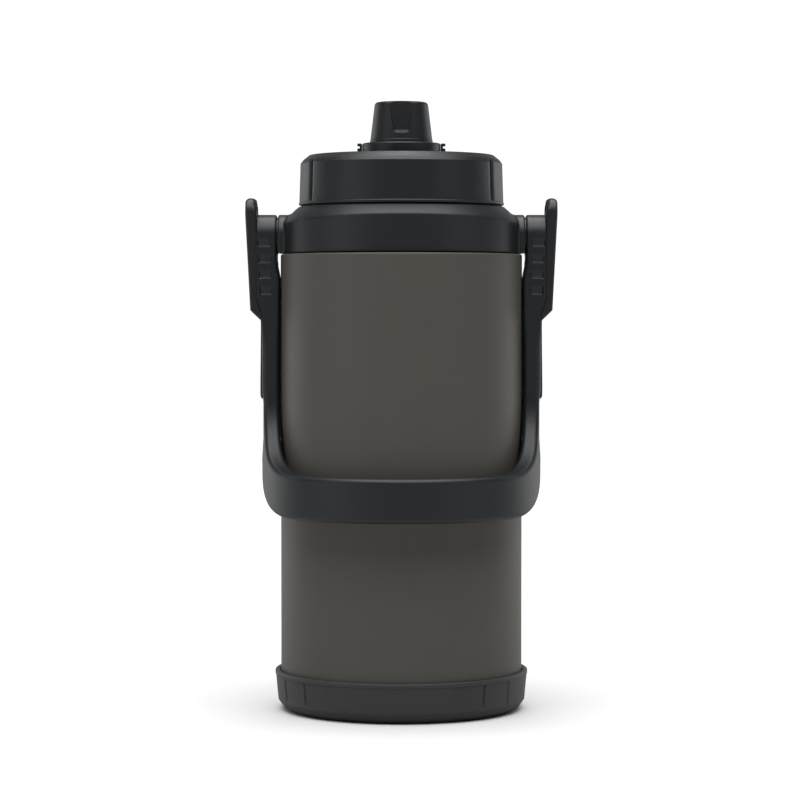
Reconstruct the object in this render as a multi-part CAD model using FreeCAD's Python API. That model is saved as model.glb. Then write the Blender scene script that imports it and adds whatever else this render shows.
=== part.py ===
import FreeCAD, Part
import math
import os
from FreeCAD import Vector

# A vacuum-insulated growler. Millimetres, +Z up, origin on the vessel's axis at the boot's underside.
# The handle's grip lies in front, towards -Y, and its pivots are on the X axis.

# Vessel
BODY_R = 62.0
WALL = 0.8
SHELL_FOOT_Z = 3.1
SHOULDER_Z = 234.0
SHOULDER_EDGE_R = 1.0
NECK_R = 49.2
NECK_TOP_Z = 256.0
LINER_R = 57.3
LINER_WALL = 0.7
MOUTH_R = 45.0
LIP_TOP_Z = 257.2
BEAD_R = 50.0
BEAD_Z = 251.8

# Boot
BOOT_CONTACT_R = 57.9
BOOT_RIM_R = 65.0
BOOT_TOP_Z = 21.0
BOOT_TURN = -4.5

# Collar
COLLAR_Z = 234.4
COLLAR_TOP_Z = 258.4
COLLAR_HALF_X = 60.5
COLLAR_HALF_Y = 57.7
COLLAR_BORE_R = 50.2
BOSS_X = 63.3

# Handle pivot
PIVOT_Z = 243.3
HUB_R = 11.0
AXLE_R = 3.0
RUNNING_FIT = 0.05
HUB_INNER_X = 63.85
COUNTERBORE_X = 70.9
LUG_X = 74.0

# Handle bail
ARM_OUT_X = 71.4
ARM_IN_X = 62.2
ARM_NECK_X = 63.6
SCREW_SEAT_X = 64.7
ARM_HALF_Y = 11.0
BEND_Z = 165.0
GRIP_LOW_Z = 101.0
GRIP_TOP_Z = 123.2
GRIP_FRONT_Y = 80.0
GRIP_BACK_Y = 72.0
RUNG_Z = (238.1, 229.8, 221.9, 213.7)
LUG_SCREW_Z = (228.0, 214.0)

# Lid
LID_Z = 259.1
LID_LIP_R = 52.7
LID_TOP_Z = 284.7
LID_TOP_R = 47.1
PLUG_R = 42.9
PLUG_Z = 237.0
LID_LEAD = 8.0

# Spout and cap
SPOUT_BORE_R = 8.0
SPOUT_R = 9.6
SPOUT_TOP_Z = 305.0
SPOUT_FLANGE_R = 20.1
SPOUT_FLANGE_TOP_Z = 290.9
CAP_Z = 291.1
CAP_TOP_Z = 311.9
CAP_CAVITY_R = 11.8
CAP_LEAD = 5.0


def across(x, z):
    """Point of a front outline."""
    return Vector(x, 0, z)


def sideways(y, z):
    """Point of a side outline."""
    return Vector(0, y, z)


def flat(x, y):
    """Point of a plan outline."""
    return Vector(x, y, 0)


def face(points, place=across):
    """Closed face. A pair ends a straight run, and four numbers are an arc's middle and end."""
    edges = []
    last = place(*points[0][-2:])
    for point in points[1:] + [points[0][-2:]]:
        end = place(*point[-2:])
        if len(point) == 4:
            edges.append(Part.Arc(last, place(*point[:2]), end).toShape())
        elif end.distanceToPoint(last) > 1e-6:
            edges.append(Part.makeLine(last, end))
        last = end
    return Part.Face(Part.Wire(edges))


def turned(points):
    """Solid of revolution about Z from a half outline of radius and height."""
    return face(points).revolve(Vector(0, 0, 0), Vector(0, 0, 1), 360)


def along_x(points, low, high):
    """Prism along X from a side outline."""
    solid = face(points, sideways).extrude(Vector(high - low, 0, 0))
    solid.translate(Vector(low, 0, 0))
    return solid


def along_y(points, low, high):
    """Prism along Y from a front outline."""
    solid = face(points, across).extrude(Vector(0, high - low, 0))
    solid.translate(Vector(0, low, 0))
    return solid


def along_z(points, low, high):
    """Prism along Z from a plan outline."""
    solid = face(points, flat).extrude(Vector(0, 0, high - low))
    solid.translate(Vector(0, 0, low))
    return solid


def ring(inner, outer, low, high):
    """Plain ring about Z."""
    return turned([(inner, low), (outer, low), (outer, high), (inner, high)])


def rod(radius, x_low, x_high, z=PIVOT_Z):
    """Cylinder along X."""
    return Part.makeCylinder(radius, x_high - x_low, Vector(x_low, 0, z), Vector(1, 0, 0))


def about_z(solid, angle):
    """Copy turned about the vessel's axis."""
    copy = solid.copy()
    copy.rotate(Vector(0, 0, 0), Vector(0, 0, 1), angle)
    return copy


def mirrored(solid):
    """Copy on the other side of the YZ plane."""
    return solid.mirror(Vector(0, 0, 0), Vector(1, 0, 0))


def thread(lead, turns, root_r, crest_r, root_width, crest_width, start_z):
    """Right-hand ridge. The crest is outside the root for a male thread, inside for a female one."""
    helix = Part.makeHelix(lead, lead * turns, root_r)
    section = Part.makePolygon([
        Vector(root_r, 0, -root_width / 2),
        Vector(crest_r, 0, -crest_width / 2),
        Vector(crest_r, 0, crest_width / 2),
        Vector(root_r, 0, root_width / 2),
        Vector(root_r, 0, -root_width / 2),
    ])
    ridge = Part.Wire(helix.Edges).makePipeShell([section], True, True)
    ridge.translate(Vector(0, 0, start_z))
    return ridge


def outer_shell():
    """Drawn steel wall: rounded foot, straight side, flat shoulder, and a neck with a rolled bead."""
    foot_r = BODY_R - 5.0
    foot_z = SHELL_FOOT_Z + 5.0
    bend = math.sqrt(0.5)
    in_r = BODY_R - WALL
    in_neck = NECK_R - WALL
    edge = SHOULDER_EDGE_R
    in_edge = edge - WALL
    return turned([
        (foot_r, SHELL_FOOT_Z),
        (foot_r + 5.0 * bend, foot_z - 5.0 * bend, BODY_R, foot_z),
        (BODY_R, SHOULDER_Z - edge),
        (BODY_R - edge * (1 - bend), SHOULDER_Z - edge * (1 - bend), BODY_R - edge, SHOULDER_Z),
        (54.6, SHOULDER_Z),
        (50.6, 243.0),
        (NECK_R, 246.5),
        (NECK_R, BEAD_Z - 0.9),
        (BEAD_R, BEAD_Z, NECK_R, BEAD_Z + 0.9),
        (NECK_R, NECK_TOP_Z),
        (in_neck, NECK_TOP_Z),
        (in_neck, BEAD_Z + 0.9),
        (BEAD_R - WALL, BEAD_Z, in_neck, BEAD_Z - 0.9),
        (in_neck, 246.3),
        (49.9, 242.5),
        (54.0, SHOULDER_Z - WALL),
        (BODY_R - edge, SHOULDER_Z - WALL),
        (BODY_R - edge + in_edge * bend, SHOULDER_Z - edge + in_edge * bend, in_r, SHOULDER_Z - edge),
        (in_r, foot_z),
        (foot_r + 4.2 * bend, foot_z - 4.2 * bend, foot_r, SHELL_FOOT_Z + WALL),
    ])


def outer_bottom_pan():
    """Pressed disc that closes the outer wall, with the evacuation hole at its centre."""
    low = SHELL_FOOT_Z
    rim_r = BODY_R - 5.0
    return turned([
        (1.5, low + 1.2),
        (30.0, low + 1.2),
        (33.0, low),
        (rim_r, low),
        (rim_r, low + WALL),
        (33.4, low + WALL),
        (30.4, low + 1.2 + WALL),
        (1.5, low + 1.2 + WALL),
    ])


def vacuum_seal_disc():
    """Thin disc soldered over the evacuation hole."""
    return Part.makeCylinder(7.0, 0.7, Vector(0, 0, SHELL_FOOT_Z + 0.5))


def vacuum_getter():
    """Getter pill welded to the pan inside the vacuum gap."""
    pill = Part.makeCylinder(6.0, 2.6, Vector(16, 0, SHELL_FOOT_Z + 1.2 + WALL))
    return pill.makeFillet(0.6, [pill.Edges[0]])


def inner_liner():
    """Inner vessel: dished bottom, cone to the mouth, rolled lip over the neck, internal thread."""
    bend = math.sqrt(0.5)
    out_r = LINER_R + LINER_WALL
    low = 10.0
    vessel = turned([
        (0, low),
        (50.0, low),
        (50.0 + 8.0 * bend, low + 8.0 - 8.0 * bend, out_r, low + 8.0),
        (out_r, 219.0),
        (MOUTH_R + LINER_WALL, 238.5),
        (MOUTH_R + LINER_WALL, NECK_TOP_Z),
        (NECK_R, NECK_TOP_Z),
        (NECK_R - 0.3, LIP_TOP_Z - 0.3, NECK_R - 1.2, LIP_TOP_Z),
        (MOUTH_R + 0.8, LIP_TOP_Z),
        (MOUTH_R + 0.25, LIP_TOP_Z - 0.25, MOUTH_R, LIP_TOP_Z - 0.8),
        (MOUTH_R, 238.3),
        (LINER_R, 218.7),
        (LINER_R, low + 8.0),
        (50.0 + 7.3 * bend, low + 8.0 - 7.3 * bend, 50.0, low + LINER_WALL),
        (0, low + LINER_WALL),
    ])
    ridge = thread(LID_LEAD, 1.25, MOUTH_R + 0.05, 43.3, 2.9, 1.4, 243.0)
    return vessel.fuse(ridge).removeSplitter()


def base_boot():
    """Moulded boot: chamfered foot, drafted wall, rim bead, and four upright grooves."""
    seat = 5.05
    bend = math.sqrt(0.5)
    boot = turned([
        (0, 0),
        (BOOT_CONTACT_R, 0),
        (61.4, 2.2, 63.6, 5.4),
        (64.5, 18.0),
        (BOOT_RIM_R, 18.5),
        (BOOT_RIM_R, 20.4),
        (BOOT_RIM_R - 0.6, BOOT_TOP_Z),
        (BODY_R + 0.8, BOOT_TOP_Z),
        (BODY_R + 0.05, BOOT_TOP_Z - 1.0),
        (BODY_R + 0.05, SHELL_FOOT_Z + 5.0),
        (BODY_R - 5.0 + seat * bend, SHELL_FOOT_Z + 5.0 - seat * bend, BODY_R - 5.0, SHELL_FOOT_Z - 0.05),
        (0, SHELL_FOOT_Z - 0.05),
    ])
    cutter = along_z([(62.9, 0), (66.0, -0.9), (66.0, 0.9)], 6.0, BOOT_TOP_Z + 1.0)
    for corner in (45, 135, 225, 315):
        boot = boot.cut(about_z(cutter, corner + BOOT_TURN))
    return boot


def collar_boss():
    """Tombstone-shaped pivot boss on the collar's side."""
    return along_x([
        (-HUB_R, COLLAR_Z),
        (HUB_R, COLLAR_Z),
        (HUB_R, PIVOT_Z),
        (0, PIVOT_Z + HUB_R, -HUB_R, PIVOT_Z),
    ], 50.6, BOSS_X)


def neck_collar():
    """Oval collar: upright wall, sloping top, two bosses, and a bore with the lock ring's groove."""
    wall = Part.Ellipse(Vector(0, 0, COLLAR_Z), COLLAR_HALF_X, COLLAR_HALF_Y).toShape()
    oval = Part.Face(Part.Wire([wall])).extrude(Vector(0, 0, 26.0))
    slope = turned([
        (0, COLLAR_Z),
        (61.5, COLLAR_Z),
        (61.5, 248.2),
        (57.2, 254.0, 52.4, COLLAR_TOP_Z),
        (51.5, COLLAR_TOP_Z),
        (51.5, COLLAR_TOP_Z + 0.4),
        (0, COLLAR_TOP_Z + 0.4),
    ])
    boss = collar_boss()
    collar = oval.common(slope).fuse([boss, mirrored(boss)])
    cavity = turned([
        (0, COLLAR_Z - 1.0),
        (54.95, COLLAR_Z - 1.0),
        (54.95, SHOULDER_Z),
        (50.95, 243.1),
        (COLLAR_BORE_R, 245.2),
        (COLLAR_BORE_R, 249.3),
        (52.8, 249.3),
        (52.8, 250.9),
        (COLLAR_BORE_R, 250.9),
        (COLLAR_BORE_R, COLLAR_TOP_Z + 2.0),
        (0, COLLAR_TOP_Z + 2.0),
    ])
    insert_hole = rod(4.6, 53.6, BOSS_X + 1.0)
    return collar.cut([cavity, insert_hole, mirrored(insert_hole)]).removeSplitter()


def collar_lock_ring():
    """Split spring ring that sits in the collar's groove, under the neck's bead."""
    gap = Part.makeBox(10.0, 12.0, 6.0, Vector(-5.0, 44.0, 247.0))
    return ring(NECK_R + 0.1, 52.7, 249.4, 250.8).cut(gap)


def pivot_insert():
    """Knurled brass insert moulded into the boss."""
    return rod(4.6, 53.6, BOSS_X).cut(rod(2.4, 53.0, BOSS_X + 1.0))


def pivot_screw():
    """Shoulder screw: thread in the insert, shoulder for the hub, low head with a hexagon socket."""
    thread_part = rod(2.4, 55.0, BOSS_X)
    shoulder = rod(AXLE_R, BOSS_X, COUNTERBORE_X + 0.15)
    head = rod(5.5, COUNTERBORE_X + 0.15, 73.3)
    corners = [
        (1.9 * math.cos(math.radians(60 * step)), PIVOT_Z + 1.9 * math.sin(math.radians(60 * step)))
        for step in range(6)
    ]
    socket = along_x(corners, 72.0, 74.0)
    return thread_part.fuse([shoulder, head]).removeSplitter().cut(socket)


def pivot_washer():
    """Thrust washer between the boss and the hub."""
    return rod(9.6, BOSS_X + 0.05, HUB_INNER_X - 0.1).cut(rod(AXLE_R + RUNNING_FIT, BOSS_X - 1, HUB_INNER_X))


def bail_side():
    """Side profile of the whole bail: hub, upright arm, forward bend and grip."""
    inner = BEND_Z - GRIP_TOP_Z
    outer = BEND_Z - GRIP_LOW_Z
    bend = math.sqrt(0.5)
    inner_y = -ARM_HALF_Y - inner
    outer_y = ARM_HALF_Y - outer
    return along_x([
        (-ARM_HALF_Y, PIVOT_Z),
        (-ARM_HALF_Y, BEND_Z),
        (inner_y + inner * bend, BEND_Z - inner * bend, inner_y, BEND_Z - inner),
        (-GRIP_FRONT_Y - 2, GRIP_TOP_Z),
        (-GRIP_FRONT_Y - 2, GRIP_LOW_Z),
        (outer_y, GRIP_LOW_Z),
        (outer_y + outer * bend, BEND_Z - outer * bend, ARM_HALF_Y, BEND_Z),
        (ARM_HALF_Y, PIVOT_Z),
        (0, PIVOT_Z + HUB_R, -ARM_HALF_Y, PIVOT_Z),
    ], -LUG_X - 1, LUG_X + 1)


def rounded_u(half_x, start_y, front_y):
    """Plan of a U: straight sides behind start_y, then half an ellipse that reaches front_y."""
    depth = front_y + start_y
    centre = Vector(0, start_y, 0)
    low, high = 99.0, 206.0
    disc = Part.Ellipse(centre, max(half_x, depth), min(half_x, depth)).toShape()
    if depth > half_x:
        disc.rotate(centre, Vector(0, 0, 1), 90)
    front = Part.Face(Part.Wire([disc])).extrude(Vector(0, 0, high - low))
    front.translate(Vector(0, 0, low))
    back = Part.makeBox(2 * half_x, 40.0, high - low, Vector(-half_x, start_y, low))
    return front.fuse(back)


def lug_screw(z):
    """Countersunk screw from the arm's inner face outwards."""
    shank = rod(1.6, SCREW_SEAT_X + 0.2, 76.8, z)
    head = Part.makeCone(3.2, 1.6, 1.6, Vector(SCREW_SEAT_X, 0, z), Vector(1, 0, 0))
    return shank.fuse(head)


def upper_arm():
    """Thicker top of the right arm, with the hub's bore, the head's counterbore and the rungs."""
    block = along_y([
        (ARM_IN_X, 200.0),
        (ARM_OUT_X, 200.0),
        (ARM_OUT_X, 203.5),
        (LUG_X, 211.0),
        (LUG_X, 256.0),
        (HUB_INNER_X, 256.0),
        (HUB_INNER_X, 231.0),
        (ARM_NECK_X, 229.5),
        (ARM_NECK_X, 228.0),
        (ARM_IN_X, 221.0),
    ], -20.0, 20.0)
    cuts = [rod(AXLE_R + RUNNING_FIT, 60.0, 75.0), rod(5.9, COUNTERBORE_X, 76.0)]
    for z in RUNG_Z:
        lean = (z - RUNG_Z[-1]) * 0.04
        pocket = along_x([
            (-ARM_HALF_Y - 1, z - 1.0),
            (-ARM_HALF_Y + 1.3, z + 0.4),
            (-ARM_HALF_Y - 1, z + 6.4),
        ], 66.1 + lean, 72.3 + lean)
        cuts.append(pocket)
    for z in LUG_SCREW_Z:
        cuts.append(lug_screw(z))
        cuts.append(rod(3.2, 60.0, SCREW_SEAT_X, z))
    return block, cuts


def handle_bail():
    """One moulding: two hubs and arms, and a front grip that hooks round the vessel."""
    outer = rounded_u(ARM_OUT_X, -5.0, GRIP_FRONT_Y)
    inner = rounded_u(ARM_IN_X, -6.0, GRIP_BACK_Y)
    block, cuts = upper_arm()
    bail = outer.cut(inner).fuse([block, mirrored(block)]).common(bail_side())
    bail = bail.cut(cuts + [mirrored(cut) for cut in cuts]).removeSplitter()
    return bail


def strap_lug():
    """Right outer plate: strap eye above the hub, tapering body, slanted end and thin tail."""
    front = along_y([
        (LUG_X, 211.0),
        (LUG_X, 260.4),
        (74.9, 262.3, 76.9, 263.1),
        (79.0, 262.3, 79.8, 259.9),
        (79.8, 254.0),
        (77.3, 205.3),
        (72.0, 200.1),
        (72.4, 161.0),
        (71.9, 159.7),
        (ARM_OUT_X, 159.7),
        (ARM_OUT_X, 203.5),
    ], -20.0, 20.0)
    side = along_x([
        (-ARM_HALF_Y, 203.0),
        (-8.0, 196.0),
        (-8.0, 164.0),
        (0, 156.0, 8.0, 164.0),
        (8.0, 196.0),
        (ARM_HALF_Y, 203.0),
        (ARM_HALF_Y, 255.0),
        (7.8, 260.8, 2.0, 263.2),
        (-2.0, 263.2),
        (-7.8, 260.8, -ARM_HALF_Y, 255.0),
    ], 70.0, 82.0)
    eye = along_x([
        (-4.2, 254.9),
        (4.2, 254.9),
        (7.0, 257.7, 4.2, 260.5),
        (-4.2, 260.5),
        (-7.0, 257.7, -4.2, 254.9),
    ], 70.0, 82.0)
    return front.common(side).cut([eye] + [lug_screw(z) for z in LUG_SCREW_Z])


def strap_lug_screws():
    """Four countersunk screws, two through each arm from its inner face."""
    screws = [lug_screw(z) for z in LUG_SCREW_Z]
    return Part.makeCompound(screws + [mirrored(screw) for screw in screws])


def lid_shell():
    """Lid's outside: lip, drafted side with three upright grooves, crowned edge, two notched tabs."""
    shell = turned([
        (LID_LIP_R, LID_Z),
        (LID_LIP_R, LID_Z + 1.1),
        (52.4, LID_Z + 1.6),
        (51.8, 280.5),
        (49.9, 283.0, LID_TOP_R, LID_TOP_Z),
        (SPOUT_R + 0.5, LID_TOP_Z),
        (SPOUT_R + 0.5, 282.3),
        (46.0, 282.3),
        (49.3, 279.4),
        (49.3, LID_Z),
    ])
    groove = along_z([(51.0, 0), (53.6, -1.3), (53.6, 1.3)], 260.4, 281.4)
    for turn in (-150, -30, 90):
        shell = shell.cut(about_z(groove, turn))
    tab = Part.makeBox(2.4, 5.0, 6.1, Vector(20.2, -2.5, LID_TOP_Z))
    notch = Part.makeBox(2.0, 6.0, 1.3, Vector(21.4, -3.0, LID_TOP_Z + 3.5))
    tab = tab.cut(notch)
    return shell.fuse([tab, mirrored(tab)]).removeSplitter()


def lid_plug():
    """Threaded cup that fills the mouth, with the flange that carries the lid shell."""
    cup = turned([
        (SPOUT_R + 0.05, PLUG_Z),
        (PLUG_R - 1.5, PLUG_Z),
        (PLUG_R, PLUG_Z + 1.5),
        (PLUG_R, LID_Z),
        (49.25, LID_Z),
        (49.25, 261.3),
        (PLUG_R - 2.2, 261.3),
        (PLUG_R - 2.2, PLUG_Z + 2.6),
        (SPOUT_R + 0.05, PLUG_Z + 2.6),
    ])
    ridge = thread(LID_LEAD, 1.25, PLUG_R - 0.05, 44.6, 2.9, 1.4, 240.6)
    return cup.fuse(ridge).removeSplitter()


def lid_foam():
    """Insulating foam between the plug and the lid shell."""
    return turned([
        (10.7, 239.7),
        (40.6, 239.7),
        (40.6, 261.4),
        (49.2, 261.4),
        (49.2, 279.2),
        (45.9, 282.2),
        (10.7, 282.2),
    ])


def lid_gasket():
    """Flat ring between the plug's flange and the vessel's lip."""
    return turned([
        (45.4, 257.5),
        (45.7, LIP_TOP_Z + 0.05),
        (48.3, LIP_TOP_Z + 0.05),
        (48.6, 257.5),
        (48.6, LID_Z - 0.02),
        (45.4, LID_Z - 0.02),
    ])


def spout_tube():
    """Drinking spout: tube through the lid, flange on top of it, external thread under the cap."""
    tube = turned([
        (SPOUT_BORE_R, 233.6),
        (SPOUT_R, 233.6),
        (SPOUT_R, LID_TOP_Z),
        (19.5, LID_TOP_Z),
        (SPOUT_FLANGE_R, LID_TOP_Z + 0.9),
        (SPOUT_FLANGE_R, SPOUT_FLANGE_TOP_Z - 0.9),
        (SPOUT_FLANGE_R - 0.26, SPOUT_FLANGE_TOP_Z - 0.26, SPOUT_FLANGE_R - 0.9, SPOUT_FLANGE_TOP_Z),
        (SPOUT_R, SPOUT_FLANGE_TOP_Z),
        (SPOUT_R, SPOUT_TOP_Z - 0.5),
        (SPOUT_R - 0.5, SPOUT_TOP_Z),
        (SPOUT_BORE_R + 0.3, SPOUT_TOP_Z),
        (SPOUT_BORE_R, SPOUT_TOP_Z - 0.3),
    ])
    ridge = thread(CAP_LEAD, 1.5, SPOUT_R - 0.05, 10.5, 1.8, 1.0, 294.6)
    return tube.fuse(ridge).removeSplitter()


def spout_nut():
    """Ring nut that clamps the spout from inside the vessel."""
    nut = ring(SPOUT_R, 14.5, 233.8, 236.3)
    for turn in range(0, 360, 60):
        notch = Part.makeBox(3.0, 2.4, 5.0, Vector(13.2, -1.2, 232.0))
        nut = nut.cut(about_z(notch, turn))
    return nut


def spout_gasket():
    """Flat ring between the nut and the plug's floor."""
    return ring(SPOUT_R + 0.1, 13.6, 236.3, PLUG_Z)


def finger_pocket():
    """Cutter for one finger pocket in the cap, narrower towards the foot, open at the top."""
    front = along_y([
        (-3.8, 296.3),
        (3.8, 296.3),
        (7.0, CAP_TOP_Z + 1),
        (-7.0, CAP_TOP_Z + 1),
    ], -20.0, 0.0)
    side = along_x([
        (-20.0, 295.4),
        (-15.4, 295.4),
        (-13.9, 296.8),
        (-12.4, CAP_TOP_Z + 1),
        (-20.0, CAP_TOP_Z + 1),
    ], -10.0, 10.0)
    return front.common(side)


def cap_shell():
    """Cap's outside: tapered knob with a foot band and three finger pockets."""
    shell = turned([
        (16.1, CAP_Z),
        (16.1, 292.3),
        (15.9, 292.7),
        (13.9, 309.3),
        (13.6, 310.9, 12.7, CAP_TOP_Z),
        (0, CAP_TOP_Z),
        (0, 308.4),
        (CAP_CAVITY_R, 308.4),
        (CAP_CAVITY_R, CAP_Z),
    ])
    pocket = finger_pocket()
    return shell.cut([about_z(pocket, turn) for turn in (0, 120, 240)])


def cap_insert():
    """Threaded cup inside the cap."""
    cup = turned([
        (0, 307.2),
        (10.8, 307.2),
        (10.8, CAP_Z),
        (CAP_CAVITY_R - 0.03, CAP_Z),
        (CAP_CAVITY_R - 0.03, 308.35),
        (0, 308.35),
    ])
    ridge = thread(CAP_LEAD, 1.5, 10.85, 9.85, 1.8, 1.0, 292.9)
    ridge = ridge.common(Part.makeCylinder(20, 30, Vector(0, 0, CAP_Z)))
    return cup.fuse(ridge).removeSplitter()


def cap_gasket():
    """Soft ring that closes on the spout's rim."""
    return ring(7.4, 10.5, SPOUT_TOP_Z + 0.05, 307.15)


SINGLE_PARTS = (
    outer_shell, outer_bottom_pan, vacuum_seal_disc, vacuum_getter, inner_liner, base_boot,
    neck_collar, collar_lock_ring, handle_bail, strap_lug_screws,
    lid_shell, lid_plug, lid_foam, lid_gasket, spout_tube, spout_nut, spout_gasket,
    cap_shell, cap_insert, cap_gasket,
)
PAIRED_PARTS = (pivot_insert, pivot_screw, pivot_washer, strap_lug)

os.makedirs("parts", exist_ok=True)
for part in SINGLE_PARTS:
    part().exportStep("parts/" + part.__name__ + ".step")
for part in PAIRED_PARTS:
    right = part()
    right.exportStep("parts/" + part.__name__ + "_right.step")
    mirrored(right).exportStep("parts/" + part.__name__ + "_left.step")
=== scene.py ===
import math

import bmesh
import bpy
import numpy as np
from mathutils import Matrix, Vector


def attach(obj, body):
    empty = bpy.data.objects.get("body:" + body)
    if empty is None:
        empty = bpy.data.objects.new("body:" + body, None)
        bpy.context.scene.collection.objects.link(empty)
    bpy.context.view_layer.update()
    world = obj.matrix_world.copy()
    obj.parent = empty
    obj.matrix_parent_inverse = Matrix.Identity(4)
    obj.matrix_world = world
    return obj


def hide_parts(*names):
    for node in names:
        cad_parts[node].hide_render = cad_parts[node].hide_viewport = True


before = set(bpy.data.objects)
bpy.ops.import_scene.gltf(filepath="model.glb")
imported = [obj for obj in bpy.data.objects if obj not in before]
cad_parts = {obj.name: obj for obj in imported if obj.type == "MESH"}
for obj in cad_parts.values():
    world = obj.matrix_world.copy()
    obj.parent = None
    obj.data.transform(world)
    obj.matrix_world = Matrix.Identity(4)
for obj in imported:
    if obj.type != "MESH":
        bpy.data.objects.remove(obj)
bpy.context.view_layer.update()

# The object's lengths are millimetres, in the CAD's frame. Meshes are scaled to metres when made.
MM = 0.001

BODY_R = 62.0
SHOULDER_Z = 234.0
PIVOT_Z = 243.3
HUB_R = 11.0
LUG_X = 74.0
LID_TOP_Z = 284.7
CAP_Z = 291.1
CAP_TOP_Z = 311.9
BOOT_TURN = -4.5
RUNG_Z = (238.1, 229.8, 221.9, 213.7)
LUG_SCREW_Z = (228.0, 214.0)
COLLAR_Z = 234.4
COLLAR_TOP_Z = 258.4
BOSS_X = 63.3
ARM_IN_X = 62.2
ARM_OUT_X = 71.4
ARM_HALF_Y = 11.0
GRIP_LOW_Z = 101.0
GRIP_TOP_Z = 123.2
BEND_Z = 165.0
BEND_Y = -53.0
TAIL_HALF_Y = 8.0
TAIL_END_Z = 167.0
EYE_Z = 257.7
LID_GROOVES = (-151.0, -29.0, 90.0)
TAB_X = 21.4
FLANGE_TOP_Z = 290.9
FLOOR_TONES = ((0.855, 0.855, 0.855), (0.865, 0.865, 0.865))


# ---------------------------------------------------------------- meshes

def add_mesh(name, points, faces, normals=None, sharp_degrees=None):
    """Object from points in millimetres. It is smooth, with given normals or edges kept sharp."""
    mesh = bpy.data.meshes.new(name)
    mesh.from_pydata((np.asarray(points) * MM).tolist(), [], faces)
    mesh.polygons.foreach_set("use_smooth", [True] * len(mesh.polygons))
    if sharp_degrees is not None:
        mesh.set_sharp_from_angle(angle=math.radians(sharp_degrees))
    if normals is not None:
        mesh.normals_split_custom_set_from_vertices(normals.tolist())
    mesh.update()
    obj = bpy.data.objects.new(name, mesh)
    bpy.context.scene.collection.objects.link(obj)
    return obj


def joined(first, *others):
    """One object out of several."""
    with bpy.context.temp_override(active_object=first, selected_editable_objects=[first, *others]):
        bpy.ops.object.join()
    return first


def rounded_outline(corners, closed=True):
    """Outline of (r, z, fillet radius) corners with each fillet drawn as a short arc."""
    outline = []
    count = len(corners)
    for i, (r, z, fillet) in enumerate(corners):
        here = np.array([r, z])
        if fillet == 0 or (not closed and i in (0, count - 1)):
            outline.append(here)
            continue
        before = np.array(corners[i - 1][:2]) - here
        after = np.array(corners[(i + 1) % count][:2]) - here
        room = min(np.linalg.norm(before), np.linalg.norm(after))
        before, after = before / np.linalg.norm(before), after / np.linalg.norm(after)
        half = math.acos(np.clip(before @ after, -1, 1)) / 2
        back = min(fillet / math.tan(half), room * 0.49)
        centre = here + (before + after) / np.linalg.norm(before + after) * back / math.cos(half)
        start, end = here + before * back - centre, here + after * back - centre
        sweep = math.pi - 2 * half
        steps = max(3, math.ceil(sweep / math.radians(11)))
        turn = math.copysign(sweep, start[0] * end[1] - start[1] * end[0])
        for step in range(steps + 1):
            a = turn * step / steps
            outline.append(centre + np.array([
                start[0] * math.cos(a) - start[1] * math.sin(a),
                start[0] * math.sin(a) + start[1] * math.cos(a),
            ]))
    return np.array(outline)


def even_angles(count, crowded=(), span=2.0, extra=24):
    """Angles round the axis in degrees, with more of them near the crowded ones."""
    angles = list(np.linspace(-180, 180, count, endpoint=False))
    for centre in crowded:
        angles += list(centre + np.linspace(-span, span, extra))
    angles = (np.array(angles) + 180) % 360 - 180
    return np.unique(np.round(angles, 4))


def lathe(name, corners, angles, offset=None, closed=True, max_run=None, sharp_degrees=40):
    """Surface of revolution. offset(angle in degrees, r, z) is added to the radius."""
    outline = rounded_outline(corners, closed)
    if max_run:
        fine = []
        count = len(outline)
        for i in range(count if closed else count - 1):
            a, b = outline[i], outline[(i + 1) % count]
            runs = max(1, math.ceil(np.linalg.norm(b - a) / max_run))
            fine += [a + (b - a) * k / runs for k in range(runs)]
        outline = np.array(fine if closed else fine + [outline[-1]])
    theta, r = np.meshgrid(np.radians(angles), outline[:, 0], indexing="ij")
    z = np.broadcast_to(outline[:, 1], r.shape)
    if offset:
        r = r + offset(np.degrees(theta), r, z)
    points = np.stack([r * np.cos(theta), r * np.sin(theta), z], axis=-1).reshape(-1, 3)
    n, m = r.shape
    i, j = np.meshgrid(np.arange(n), np.arange(m if closed else m - 1), indexing="ij")
    i2, j2 = (i + 1) % n, (j + 1) % m
    faces = np.stack([i * m + j, i2 * m + j, i2 * m + j2, i * m + j2], axis=-1).reshape(-1, 4)
    obj = add_mesh(name, points, faces.tolist(), sharp_degrees=sharp_degrees)
    weld(obj)
    if sharp_degrees is not None:
        obj.data.set_sharp_from_angle(angle=math.radians(sharp_degrees))
    return obj


def weld(obj):
    """Merges points that coincide, such as those on the axis."""
    bm = bmesh.new()
    bm.from_mesh(obj.data)
    bmesh.ops.remove_doubles(bm, verts=bm.verts, dist=1e-7)
    bmesh.ops.recalc_face_normals(bm, faces=bm.faces)
    bm.to_mesh(obj.data)
    bm.free()


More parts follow.
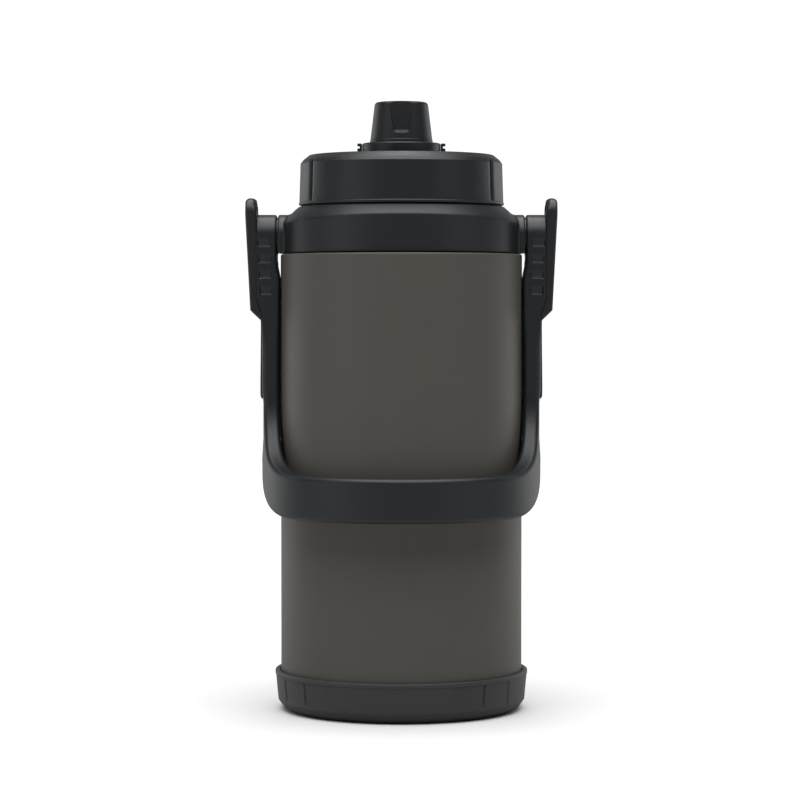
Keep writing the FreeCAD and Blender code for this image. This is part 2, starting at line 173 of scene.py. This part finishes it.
def field_mesh(name, field, low, high, step):
    """Quads on the surface where field(x, y, z) is zero, inside being negative, with the field's normals."""
    axes = [np.arange(a - step, b + 2 * step, step) for a, b in zip(low, high)]
    x, y, z = np.meshgrid(*axes, indexing="ij", sparse=True)
    value = np.broadcast_to(field(x, y, z), [len(a) for a in axes])
    inside = value < 0
    cells = tuple(n - 1 for n in inside.shape)
    total = np.zeros(cells, int)
    crossing = np.zeros(cells + (3,))
    hits = np.zeros(cells, int)

    def corner(array, d):
        """Value at one corner of every cell."""
        return array[tuple(slice(k, k + c) for k, c in zip(d, cells))]

    for d in np.ndindex(2, 2, 2):
        total += corner(inside, d)
    for axis in range(3):
        for d in np.ndindex(2, 2, 2):
            if d[axis]:
                continue
            far = tuple(1 if k == axis else v for k, v in enumerate(d))
            a, b = corner(value, d), corner(value, far)
            cut = corner(inside, d) != corner(inside, far)
            t = np.where(cut, a / np.where(cut, a - b, 1), 0)
            for k in range(3):
                crossing[..., k] += np.where(cut, t if k == axis else d[k], 0)
            hits += cut
    crossed = (total > 0) & (total < 8)
    index = np.full(cells, -1)
    index[crossed] = np.arange(crossed.sum())
    where = np.argwhere(crossed)
    start = np.array([a[0] for a in axes])
    points = start + (where + crossing[crossed] / hits[crossed][:, None]) * step

    def gradient(p):
        """Slope of the field at points."""
        parts = []
        for k in range(3):
            nudge = np.zeros(3)
            nudge[k] = 0.02
            parts.append((field(*(p + nudge).T) - field(*(p - nudge).T)) / 0.04)
        return np.stack(parts, axis=-1)

    for _ in range(5):
        slope = gradient(points)
        move = slope * (field(*points.T) / np.maximum((slope ** 2).sum(axis=1), 0.05))[:, None]
        points -= np.clip(move, -0.4 * step, 0.4 * step)
    normals = gradient(points)
    normals /= np.maximum(np.linalg.norm(normals, axis=1), 1e-9)[:, None]

    faces = []
    for axis in range(3):
        u, v = (axis + 1) % 3, (axis + 2) % 3
        low_side = tuple(slice(0, -1) if k == axis else slice(None) for k in range(3))
        high_side = tuple(slice(1, None) if k == axis else slice(None) for k in range(3))
        for leaving in (True, False):
            change = (inside[low_side] == leaving) & (inside[high_side] != leaving)
            at = np.argwhere(change)
            at = at[(at[:, u] > 0) & (at[:, v] > 0) & (at[:, u] < cells[u]) & (at[:, v] < cells[v])]
            ring = []
            for du, dv in ((0, 0), (-1, 0), (-1, -1), (0, -1)):
                cell = at.copy()
                cell[:, u] += du
                cell[:, v] += dv
                ring.append(index[tuple(cell.T)])
            quads = np.stack(ring if leaving else ring[::-1], axis=-1)
            faces += quads.tolist()
    return add_mesh(name, points, faces, normals=normals)


# ---------------------------------------------------------------- distance fields

def cut_round(a, b, radius):
    """Overlap of two regions, with the edge between them rounded."""
    u, v = np.maximum(a + radius, 0), np.maximum(b + radius, 0)
    return np.minimum(np.maximum(a, b), -radius) + np.hypot(u, v)


def join_round(a, b, radius):
    """Union of two regions, with a fillet between them."""
    u, v = np.maximum(radius - a, 0), np.maximum(radius - b, 0)
    return np.maximum(np.minimum(a, b), radius) - np.hypot(u, v)


def ellipse_field(x, y, half_x, half_y):
    """Near-distance to an ellipse."""
    k = np.hypot(x / half_x, y / half_y)
    return k * (k - 1) / np.maximum(np.hypot(x / half_x ** 2, y / half_y ** 2), 1e-6)


def circle_through(p, q, s):
    """Centre and radius of the circle through three points."""
    (ax, ay), (bx, by), (cx, cy) = p, q, s
    d = 2 * (ax * (by - cy) + bx * (cy - ay) + cx * (ay - by))
    a, b, c = ax * ax + ay * ay, bx * bx + by * by, cx * cx + cy * cy
    x = (a * (by - cy) + b * (cy - ay) + c * (ay - by)) / d
    y = (a * (cx - bx) + b * (ax - cx) + c * (bx - ax)) / d
    return x, y, math.hypot(ax - x, ay - y)


def bail_field(x, y, z):
    """Handle bail: the plan's U, the side's hook, thicker upper arms, rungs and pivot bores."""
    x = np.abs(x)
    outer = ellipse_field(x, np.minimum(y + 5.0, 0), ARM_OUT_X, 75.0)
    outer = outer + 0.6 * np.interp(z, [130.0, 140.0, 158.0, 165.0], [0, 1, 1, 0])
    inner = ellipse_field(x, np.minimum(y + 6.0, 0), ARM_IN_X, 66.0)
    upper_out = np.interp(z, [203.5, 211.0], [ARM_OUT_X, LUG_X])
    upper_in = np.interp(z, [221.0, 228.0, 229.5, 231.0], [ARM_IN_X, 63.6, 63.6, 63.85])
    outer = np.where(z > 200, x - upper_out, outer)
    inner = np.where(z > 200, x - upper_in, inner)
    small_r = BEND_Z - GRIP_TOP_Z
    bend = small_r - np.hypot(y + small_r + ARM_HALF_Y, z - BEND_Z)
    hook = np.hypot(y - BEND_Y, z - BEND_Z) - (BEND_Z - GRIP_LOW_Z)
    low_front = np.where(y <= -small_r - ARM_HALF_Y, z - GRIP_TOP_Z, bend)
    low_back = np.where(y <= BEND_Y, GRIP_LOW_Z - z, hook)
    front = np.where(z >= BEND_Z, -ARM_HALF_Y - y, low_front)
    back = np.where(z >= BEND_Z, y - ARM_HALF_Y, low_back)
    side = np.maximum(front, back)
    side = np.where(z > PIVOT_Z, np.hypot(y, z - PIVOT_Z) - HUB_R, side)
    body = cut_round(side, outer, np.interp(z, [185.0, 198.0], [2.5, 0.04]))
    body = cut_round(body, -inner, np.interp(z, [185.0, 205.0, 232.0], [2.5, 1.3, 1.2]))
    for k, rung_z in enumerate(RUNG_Z):
        lean = 1.0 - k / 3
        left, right = 66.15 + 0.85 * lean, 72.2 + 1.1 * lean
        across = np.maximum(left - x, x - right)
        inward = y + ARM_HALF_Y
        ledge = (rung_z - 0.4 + inward * 0.75 - z) * 0.8
        slope = (z - rung_z - 3.8 + inward * 3.0) * 0.32
        body = cut_round(body, -np.maximum(across, np.maximum(ledge, slope)), 0.1)
    for screw_z in LUG_SCREW_Z:
        from_screw = np.hypot(y, z - screw_z)
        body = np.maximum(body, -np.maximum(from_screw - 3.35, x - 65.0))
        body = np.maximum(body, 1.65 - from_screw)
    bore = np.hypot(y, z - PIVOT_Z)
    body = np.maximum(body, 3.05 - bore)
    return np.maximum(body, -np.maximum(bore - 5.9, 70.9 - x))


def lug_field(x, y, z):
    """Right strap lug: eye, tapering plate, slanted end and thin tail."""
    outer = x - np.interp(z, [159.7, 161.0, 200.1, 205.3, 254.0], [71.9, 72.4, 72.0, 77.3, 79.8])
    inner = np.interp(z, [203.5, 211.0], [ARM_OUT_X, LUG_X]) - x
    front = cut_round(outer, z - 263.1, 2.8)
    half = np.interp(z, [196.0, 203.0], [TAIL_HALF_Y, ARM_HALF_Y])
    tall = np.maximum(np.abs(y) - 3.0, 0)
    top = np.hypot(tall, np.maximum(z - 255.1, 0)) - 8.0
    side = np.maximum(np.abs(y) - half, np.where(z > 255.1, top, -9.0))
    tail = np.hypot(y, np.minimum(z - TAIL_END_Z, 0)) - TAIL_HALF_Y
    side = np.maximum(side, np.where(z < TAIL_END_Z, tail, -9.0))
    body = cut_round(front, side, 1.3)
    body = cut_round(body, inner, np.interp(z, [238.0, 246.0, 255.0, 259.0], [0.03, 0.6, 1.0, 3.0]))
    eye = np.hypot(np.maximum(np.abs(y) - 4.2, 0), z - EYE_Z) - 2.8
    body = cut_round(body, -eye, 1.0)
    for screw_z in LUG_SCREW_Z:
        body = np.maximum(body, -np.maximum(np.hypot(y, z - screw_z) - 1.6, x - 76.8))
    return body


def collar_field(x, y, z):
    """Neck collar: oval wall, sloping crown, pivot bosses and bore."""
    r = np.hypot(x, y)
    cr, cz, radius = circle_through((61.5, 248.2), (57.2, 254.0), (52.4, COLLAR_TOP_Z))
    crown = np.hypot(r - cr, z - cz) - radius
    body = cut_round(ellipse_field(x, y, 60.5, 57.7), crown, 0.5)
    body = cut_round(body, z - COLLAR_TOP_Z, 0.4)
    body = cut_round(body, COLLAR_Z - z, 0.7)
    body = np.minimum(body, np.maximum(r - 51.5, z - COLLAR_TOP_Z - 0.4))
    tomb = np.where(z > PIVOT_Z, np.hypot(y, z - PIVOT_Z) - HUB_R, np.abs(y) - HUB_R)
    boss = cut_round(np.maximum(tomb, 50.6 - np.abs(x)), np.abs(x) - BOSS_X, 1.0)
    boss = cut_round(boss, COLLAR_Z - z, 0.7)
    body = join_round(body, boss, 1.2)
    insert = np.maximum(np.hypot(y, z - PIVOT_Z) - 4.6, 53.6 - np.abs(x))
    ring_groove = np.maximum(r - 52.8, np.abs(z - 250.1) - 0.8)
    body = np.maximum(body, -np.minimum(insert, ring_groove))
    bore = np.interp(z, [SHOULDER_Z, 243.1, 245.2], [54.95, 50.95, 50.2])
    return np.maximum(body, bore - r)


def cap_field(x, y, z):
    """Cap: tapered knob with a foot band and three finger pockets."""
    r = np.hypot(x, y)
    side = r - np.interp(z, [292.3, 292.8, 309.3, CAP_TOP_Z], [16.1, 15.9, 13.9, 13.5])
    body = cut_round(side, z - CAP_TOP_Z, 1.5)
    for turn in (0, 120, 240):
        c, s = math.cos(math.radians(turn)), math.sin(math.radians(turn))
        px, py = x * c + y * s, y * c - x * s
        half = np.interp(z, [296.3, CAP_TOP_Z], [3.3, 6.5])
        depth = py + np.interp(z, [295.6, 297.1, CAP_TOP_Z], [15.6, 13.6, 12.3])
        wall = (np.abs(px) - half - 0.5 * np.maximum(-depth, 0)) * 0.85
        pocket = np.maximum(np.maximum(wall, depth), (295.6 - z))
        body = cut_round(body, -pocket, 0.15)
    body = np.maximum(body, CAP_Z - z)
    return np.maximum(body, -np.maximum(r - 11.8, z - 308.4))


# ---------------------------------------------------------------- pieces

def outer_shell():
    """Painted wall with its rounded shoulder, and the bare neck inside the collar."""
    return lathe("outer_shell_skin", [
        (57.0, 3.1, 0), (BODY_R, 3.1, 4.9), (BODY_R, SHOULDER_Z, 1.0), (54.6, SHOULDER_Z, 0.4),
        (50.6, 243.0, 1.0), (49.2, 246.5, 1.0), (49.2, 250.9, 0.2), (50.0, 251.8, 0.4),
        (49.2, 252.7, 0.2), (49.2, 256.0, 0), (48.4, 256.0, 0), (48.4, 246.3, 0),
        (49.9, 242.5, 0), (54.0, 233.2, 0), (61.2, 233.2, 0.2), (61.2, 4.0, 4.0), (57.0, 3.9, 0),
    ], even_angles(256))


def boot_offset(angle, r, z):
    """Four upright grooves and the faint steps between the boot's panels."""
    turned = (angle + 90.0 - BOOT_TURN + 45.0) % 90.0 - 45.0
    to_corner = (45.0 - np.abs(turned)) * math.radians(1) * r
    wall = (r > 62.4) & (z > 5.6)
    below_rim = np.clip((18.4 - z) / 0.6, 0, 1) * np.clip((z - 5.4) / 1.5, 0, 1)
    groove = -1.0 * np.clip(1 - to_corner / 0.75, 0, 1) * below_rim
    step = np.clip((np.abs(turned) - 27.7) * math.radians(1) * r / 0.35, 0, 1)
    return np.where(wall, groove - 0.4 * step * below_rim, 0)


def base_boot():
    """Boot: chamfered foot, drafted panelled wall, rim bead."""
    corners = [BOOT_TURN - 90 + 45 + 90 * k for k in range(4)]
    steps = [BOOT_TURN - 90 + 90 * k + side * 27.9 for k in range(4) for side in (-1, 1)]
    return lathe("base_boot_skin", [
        (0, 0, 0), (57.9, 0, 1.2), (61.3, 2.3, 4.0), (63.5, 5.3, 0.9), (64.65, 17.6, 0.25),
        (64.65, 18.1, 0.15), (65.0, 18.6, 0.4), (65.0, 20.6, 0.6), (62.8, 20.6, 0.3),
        (BODY_R + 0.05, 19.6, 0.2), (BODY_R + 0.05, 3.05, 4.9), (0, 3.05, 0),
    ], even_angles(256, corners + steps, 0.8, 15), boot_offset, closed=False, max_run=2.0)


def lid_offset(angle, r, z):
    """Three upright V grooves in the lid's side."""
    groove = 0
    for centre in LID_GROOVES:
        away = np.abs((angle - centre + 180) % 360 - 180) * math.radians(1) * r
        groove = np.maximum(groove, np.clip(1.25 - away / 0.85, 0, 1))
    ends = np.clip((z - 260.3) / 0.5, 0, 1) * np.clip((281.4 - z) / 0.9, 0, 1)
    return np.where(r > 50.5, -2.2 * groove * ends, 0)


def tab_field(x, y, z):
    """Small tabs on the lid, each with a notch in its outer side."""
    x = np.abs(x)
    block = np.maximum(np.abs(x - TAB_X) - 1.2, np.abs(y) - 2.5)
    block = cut_round(block, z - 290.8, 0.4)
    notch = np.maximum(np.abs(z - 288.85) - 0.65, TAB_X - x)
    return np.maximum(np.maximum(block, -notch), 284.3 - z)


def lid_shell():
    """Lid: lip, drafted side with grooves, crowned edge and flat top, with two small tabs."""
    lid = lathe("lid_shell_skin", [
        (49.3, 259.1, 0), (52.7, 259.1, 0.35), (52.7, 260.2, 0.3), (52.42, 260.6, 0.2),
        (51.8, 280.3, 0.3), (50.4, 282.2, 1.5), (47.2, LID_TOP_Z, 1.2), (10.1, LID_TOP_Z, 0),
        (10.1, 282.3, 0), (46.0, 282.3, 0), (49.3, 279.4, 0),
    ], even_angles(256, LID_GROOVES, 0.95, 21), lid_offset, max_run=2.0)
    tabs = [field_mesh("tab", tab_field, (left, -3, 284), (left + 3, 3, 291), 0.2) for left in (-23, 20)]
    return joined(lid, *tabs)


def thread_ridge(lead, turns, root_r, crest_r, root_width, crest_width, start_z):
    """Right-hand ridge of trapezoid section, with closed ends."""
    section = ((root_r, -root_width / 2), (crest_r, -crest_width / 2), (crest_r, crest_width / 2),
               (root_r, root_width / 2))
    count = round(turns * 64) + 1
    points = []
    for a in np.linspace(0, 2 * math.pi * turns, count):
        rise = start_z + lead * a / (2 * math.pi)
        points += [(r * math.cos(a), r * math.sin(a), rise + up) for r, up in section]
    faces = [(0, 1, 2, 3), tuple(4 * count - k for k in (1, 2, 3, 4))]
    for i in range(0, 4 * (count - 1), 4):
        faces += [(i + k, i + 4 + k, i + 4 + (k + 1) % 4, i + (k + 1) % 4) for k in range(4)]
    ridge = add_mesh("thread_ridge", points, faces)
    weld(ridge)
    ridge.data.set_sharp_from_angle(angle=math.radians(30))
    return ridge


def spout_tube():
    """Spout: bore, flange on the lid, threaded neck under the cap."""
    tube = lathe("spout_tube_skin", [
        (8.0, 233.6, 0.2), (9.6, 233.6, 0.2), (9.6, LID_TOP_Z, 0), (19.4, LID_TOP_Z, 0.1), (20.1, 285.6, 0.3),
        (20.1, FLANGE_TOP_Z, 0.9), (9.6, FLANGE_TOP_Z, 0.3), (9.6, 305.0, 0.5), (8.0, 305.0, 0.5),
    ], even_angles(160))
    ridge = thread_ridge(lead=5.0, turns=1.5, root_r=9.5, crest_r=10.5, root_width=1.8, crest_width=1.0,
                         start_z=294.6)
    return joined(tube, ridge)


def cap_shell():
    """Cap, meshed from its field."""
    return field_mesh("cap_shell_skin", cap_field, (-17, -17, 290), (17, 17, 313), 0.25)


def neck_collar():
    """Neck collar, meshed from its field."""
    return field_mesh("neck_collar_skin", collar_field, (-64, -58, 234), (64, 58, 259), 0.6)


def handle_bail():
    """Handle bail, meshed from its field."""
    return field_mesh("handle_bail_skin", bail_field, (-75, -81, 100), (75, 12, 255), 0.6)


def strap_lug(side):
    """Strap lug on one side, made on the right and mirrored for the left."""
    name = "strap_lug_skin_" + ("right" if side > 0 else "left")
    left, right = sorted((side * 71, side * 80.5))
    return field_mesh(name, lambda x, y, z: lug_field(side * x, y, z),
                      (left, -11.5, 157), (right, 11.5, 264), 0.4)


# ---------------------------------------------------------------- materials

def material(name, color, roughness, metallic=0.0):
    """New Principled material: (material, its nodes, its links, the shader)."""
    mat = bpy.data.materials.new(name)
    mat.use_nodes = True
    nodes, links = mat.node_tree.nodes, mat.node_tree.links
    shader = nodes["Principled BSDF"]
    shader.inputs["Base Color"].default_value = (*color, 1)
    shader.inputs["Roughness"].default_value = roughness
    shader.inputs["Metallic"].default_value = metallic
    return mat, nodes, links, shader


def noise(nodes, links, per_mm, detail=3.0, stretch=(1, 1, 1)):
    """Noise in the object's own frame, with about per_mm grains to a millimetre."""
    coordinates = nodes.new("ShaderNodeTexCoord")
    mapping = nodes.new("ShaderNodeMapping")
    mapping.inputs["Scale"].default_value = stretch
    texture = nodes.new("ShaderNodeTexNoise")
    texture.inputs["Scale"].default_value = per_mm / MM
    texture.inputs["Detail"].default_value = detail
    links.new(coordinates.outputs["Object"], mapping.inputs["Vector"])
    links.new(mapping.outputs["Vector"], texture.inputs["Vector"])
    return texture.outputs["Fac"]


def spread(nodes, links, value, low, high):
    """Noise value mapped to the range low to high."""
    mapped = nodes.new("ShaderNodeMapRange")
    mapped.inputs["From Min"].default_value = 0.3
    mapped.inputs["From Max"].default_value = 0.7
    mapped.inputs["To Min"].default_value = low
    mapped.inputs["To Max"].default_value = high
    links.new(value, mapped.inputs["Value"])
    return mapped.outputs["Result"]


def tint(nodes, links, value, color, other):
    """Colour that wanders between two tones."""
    mix = nodes.new("ShaderNodeMix")
    mix.data_type = "RGBA"
    mix.inputs["A"].default_value = (*color, 1)
    mix.inputs["B"].default_value = (*other, 1)
    links.new(value, mix.inputs["Factor"])
    return mix.outputs["Result"]


def bump(nodes, links, shader, height, depth_mm, strength):
    """Surface relief from a height value."""
    node = nodes.new("ShaderNodeBump")
    node.inputs["Strength"].default_value = strength
    node.inputs["Distance"].default_value = depth_mm * MM
    links.new(height, node.inputs["Height"])
    links.new(node.outputs["Normal"], shader.inputs["Normal"])


def grained(name, color, other, roughness, grain, depth, strength, specular=0.5, specular_tint=(1, 1, 1)):
    """Moulded or powder-coated surface: fine grain, slight tone and gloss wander."""
    mat, nodes, links, shader = material(name, color, roughness[0])
    shader.inputs["Specular IOR Level"].default_value = specular
    shader.inputs["Specular Tint"].default_value = (*specular_tint, 1)
    slow = noise(nodes, links, 0.06, 2.0)
    fine = noise(nodes, links, grain, 2.0)
    links.new(tint(nodes, links, slow, color, other), shader.inputs["Base Color"])
    links.new(spread(nodes, links, fine, *roughness), shader.inputs["Roughness"])
    bump(nodes, links, shader, fine, depth, strength)
    return mat


def brushed(name, color, roughness, stretch):
    """Metal with fine directional lines."""
    mat, nodes, links, shader = material(name, color, roughness[0], 1.0)
    lines = noise(nodes, links, 1.2, 4.0, stretch)
    links.new(spread(nodes, links, lines, *roughness), shader.inputs["Roughness"])
    bump(nodes, links, shader, lines, 0.02, 0.3)
    return mat


body_paint = grained("body_paint", (0.090, 0.086, 0.077), (0.098, 0.093, 0.082), (0.46, 0.54),
                     1.6, 0.02, 0.35, specular=0.35)
black_plastic = grained("black_plastic", (0.0045, 0.0062, 0.0080), (0.0060, 0.0078, 0.0095), (0.40, 0.52),
                        1.9, 0.02, 0.3, specular=0.62, specular_tint=(0.93, 0.965, 1.0))
boot_plastic = grained("boot_plastic", (0.036, 0.038, 0.041), (0.041, 0.043, 0.046), (0.46, 0.58),
                       1.9, 0.03, 0.5)
washer_plastic = grained("washer_plastic", (0.03, 0.03, 0.03), (0.04, 0.04, 0.04), (0.3, 0.4), 2.2, 0.01, 0.3)
seal_rubber = grained("seal_rubber", (0.12, 0.12, 0.12), (0.14, 0.14, 0.14), (0.6, 0.75), 1.5, 0.02, 0.4)
foam = grained("foam", (0.62, 0.55, 0.36), (0.72, 0.66, 0.46), (0.85, 0.95), 0.9, 0.4, 0.8)
steel = brushed("steel", (0.56, 0.56, 0.55), (0.22, 0.38), (1, 1, 14))
brass = brushed("brass", (0.72, 0.52, 0.22), (0.25, 0.4), (14, 1, 1))


# ---------------------------------------------------------------- assembly

def place(obj, node, body, mat):
    """Puts a piece in for its CAD node."""
    obj.data.materials.clear()
    obj.data.materials.append(mat)
    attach(obj, body)
    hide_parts(node)


place(outer_shell(), "outer_shell", "bottle", body_paint)
place(base_boot(), "base_boot", "bottle", boot_plastic)
place(neck_collar(), "neck_collar", "bottle", black_plastic)
place(lid_shell(), "lid_shell", "lid", black_plastic)
place(spout_tube(), "spout_tube", "lid", black_plastic)
place(cap_shell(), "cap_shell", "cap", black_plastic)
place(handle_bail(), "handle_bail", "handle", black_plastic)
place(strap_lug(1), "strap_lug_right", "handle", black_plastic)
place(strap_lug(-1), "strap_lug_left", "handle", black_plastic)

NODE_LOOKS = {
    "outer_bottom_pan": ("steel", steel),
    "vacuum_seal_disc": ("steel", steel),
    "vacuum_getter": ("steel", steel),
    "inner_liner": ("steel", steel),
    "collar_lock_ring": ("steel", steel),
    "pivot_insert_left": ("brass", brass),
    "pivot_insert_right": ("brass", brass),
    "pivot_screw_left": ("steel", steel),
    "pivot_screw_right": ("steel", steel),
    "pivot_washer_left": ("washer_plastic", washer_plastic),
    "pivot_washer_right": ("washer_plastic", washer_plastic),
    "strap_lug_screws": ("steel", steel),
    "lid_plug": ("black_plastic", black_plastic),
    "lid_foam": ("foam", foam),
    "lid_gasket": ("seal_rubber", seal_rubber),
    "spout_nut": ("black_plastic", black_plastic),
    "spout_gasket": ("seal_rubber", seal_rubber),
    "cap_insert": ("black_plastic", black_plastic),
    "cap_gasket": ("seal_rubber", seal_rubber),
}
for node, (slot_name, look) in NODE_LOOKS.items():
    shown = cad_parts[node]
    shown.data.materials.clear()
    shown.data.materials.append(look)


# ---------------------------------------------------------------- stage, in metres

def add_floor():
    """Plain pale floor that throws little light back on the object."""
    mat, nodes, links, shader = material("floor", FLOOR_TONES[0], 1.0)
    shader.inputs["Specular IOR Level"].default_value = 0.0
    grain = noise(nodes, links, 0.02)
    links.new(tint(nodes, links, grain, *FLOOR_TONES), shader.inputs["Base Color"])
    dull = nodes.new("ShaderNodeBsdfDiffuse")
    dull.inputs["Color"].default_value = (0.46, 0.45, 0.44, 1)
    path = nodes.new("ShaderNodeLightPath")
    mix = nodes.new("ShaderNodeMixShader")
    links.new(path.outputs["Is Camera Ray"], mix.inputs[0])
    links.new(dull.outputs["BSDF"], mix.inputs[1])
    links.new(shader.outputs["BSDF"], mix.inputs[2])
    links.new(mix.outputs["Shader"], nodes["Material Output"].inputs["Surface"])
    mesh = bpy.data.meshes.new("floor")
    mesh.from_pydata([(-8, -8, 0), (8, -8, 0), (8, 8, 0), (-8, 8, 0)], [], [(0, 1, 2, 3)])
    floor = bpy.data.objects.new("floor", mesh)
    mesh.materials.append(mat)
    bpy.context.scene.collection.objects.link(floor)


def add_panel(name, where, aim, width, height, power):
    """Soft rectangular light aimed at a point. Metres and watts."""
    data = bpy.data.lights.new(name, "AREA")
    data.shape = "RECTANGLE"
    data.size = width
    data.size_y = height
    data.energy = power
    lamp = bpy.data.objects.new(name, data)
    lamp.location = where
    lamp.rotation_euler = (Vector(aim) - Vector(where)).to_track_quat("-Z", "Y").to_euler()
    bpy.context.scene.collection.objects.link(lamp)


def add_camera():
    """Camera straight in front, a little below the shoulder's height, tipped slightly down."""
    data = bpy.data.cameras.new("camera")
    data.lens = 126.0
    data.sensor_width = 36.0
    camera = bpy.data.objects.new("camera", data)
    camera.location = (-0.0007, -1.442, 0.2094)
    camera.rotation_euler = (math.radians(90 - 2.0), 0, 0)
    bpy.context.scene.collection.objects.link(camera)
    bpy.context.scene.camera = camera


def add_world():
    """White backdrop that lights the object only dimly."""
    world = bpy.data.worlds.new("world")
    world.use_nodes = True
    nodes, links = world.node_tree.nodes, world.node_tree.links
    dim = nodes["Background"]
    dim.inputs["Color"].default_value = (1, 1, 1, 1)
    dim.inputs["Strength"].default_value = 0.05
    white = nodes.new("ShaderNodeBackground")
    white.inputs["Color"].default_value = (1, 1, 1, 1)
    white.inputs["Strength"].default_value = 1.05
    path = nodes.new("ShaderNodeLightPath")
    mix = nodes.new("ShaderNodeMixShader")
    links.new(path.outputs["Is Camera Ray"], mix.inputs[0])
    links.new(dim.outputs["Background"], mix.inputs[1])
    links.new(white.outputs["Background"], mix.inputs[2])
    links.new(mix.outputs["Shader"], nodes["World Output"].inputs["Surface"])
    bpy.context.scene.world = world


def add_sun(strength, angle):
    """Very soft light from straight above."""
    data = bpy.data.lights.new("overhead", "SUN")
    data.energy = strength
    data.angle = math.radians(angle)
    lamp = bpy.data.objects.new("overhead", data)
    lamp.rotation_euler = (math.radians(12), 0, 0)
    bpy.context.scene.collection.objects.link(lamp)


add_floor()
add_world()
add_sun(3.6, 72)
add_panel("side_left", (-1.4, -0.9, 0.5), (0, 0, 0.16), 0.9, 1.2, 2.6)
add_panel("side_right", (1.4, -0.9, 0.5), (0, 0, 0.16), 0.9, 1.2, 1.4)
add_panel("rim_left", (-1.1, 0.9, 0.22), (0, 0, 0.08), 0.8, 1.0, 3.6)
add_panel("rim_right", (1.1, 0.9, 0.22), (0, 0, 0.08), 0.8, 1.0, 3.6)
add_panel("back", (0, 2.0, 0.8), (0, 0, 0.2), 3.2, 1.5, 6)
add_panel("top", (0, 0.55, 2.0), (0, 0, 0.28), 0.5, 0.4, 4)
add_camera()
bpy.context.scene.view_settings.view_transform = "Standard"
